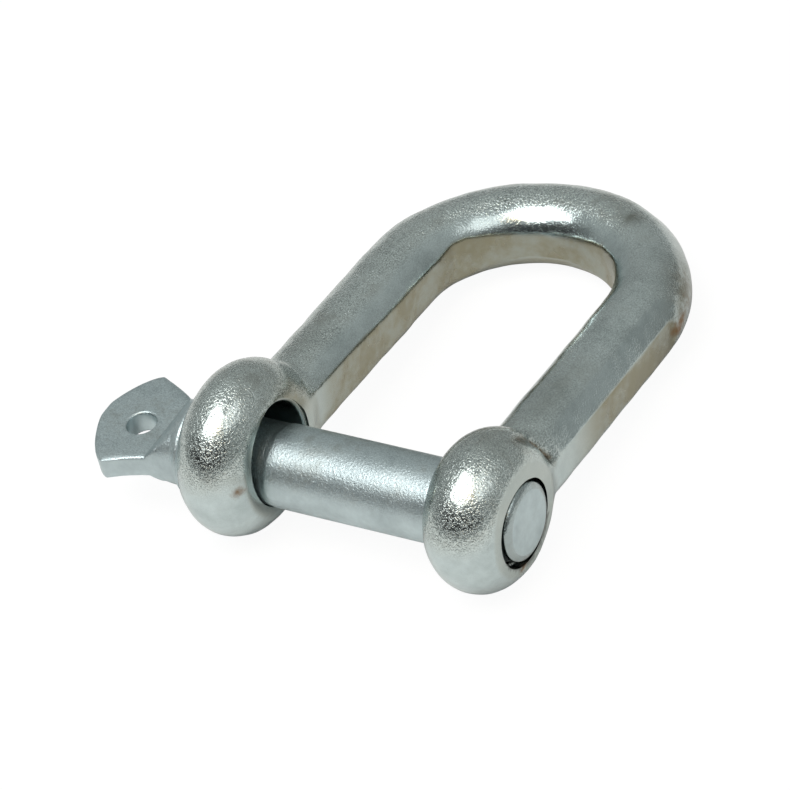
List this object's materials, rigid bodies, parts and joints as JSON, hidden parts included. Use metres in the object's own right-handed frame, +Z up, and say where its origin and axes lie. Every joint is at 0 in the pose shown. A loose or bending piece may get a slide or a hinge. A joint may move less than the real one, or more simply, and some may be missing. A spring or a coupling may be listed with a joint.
{
  "type": "d shackle",
  "caption": "Zinc-plated forged D shackle with parallel legs, a round crown and a screw pin whose flat eyed head stands outside the plain eye.",
  "frame": {"origin": "on the pin's axis, midway along the finished grip between the two eyes", "axes": "+X along the pin from the plain eye to the threaded eye, +Y from the pin towards the crown, +Z up from the surface that the shackle lies on"},
  "size_m": [0.0924, 0.1085, 0.0338],
  "materials": {
    "zinc_body": "bright zinc plating over a gritty drop forging",
    "zinc_pin": "bright zinc plating over a turned shank and a forged head"
  },
  "bodies": {
    "shackle_body": {"shackle_body": "zinc_body"},
    "screw_pin": {"screw_pin": "zinc_pin"}
  },
  "joints": [
    {"name": "pin_withdraw", "type": "slide", "parent": "shackle_body", "child": "screw_pin", "axis": [-1, 0, 0], "range_m": [0, 0.1]}
  ]
}
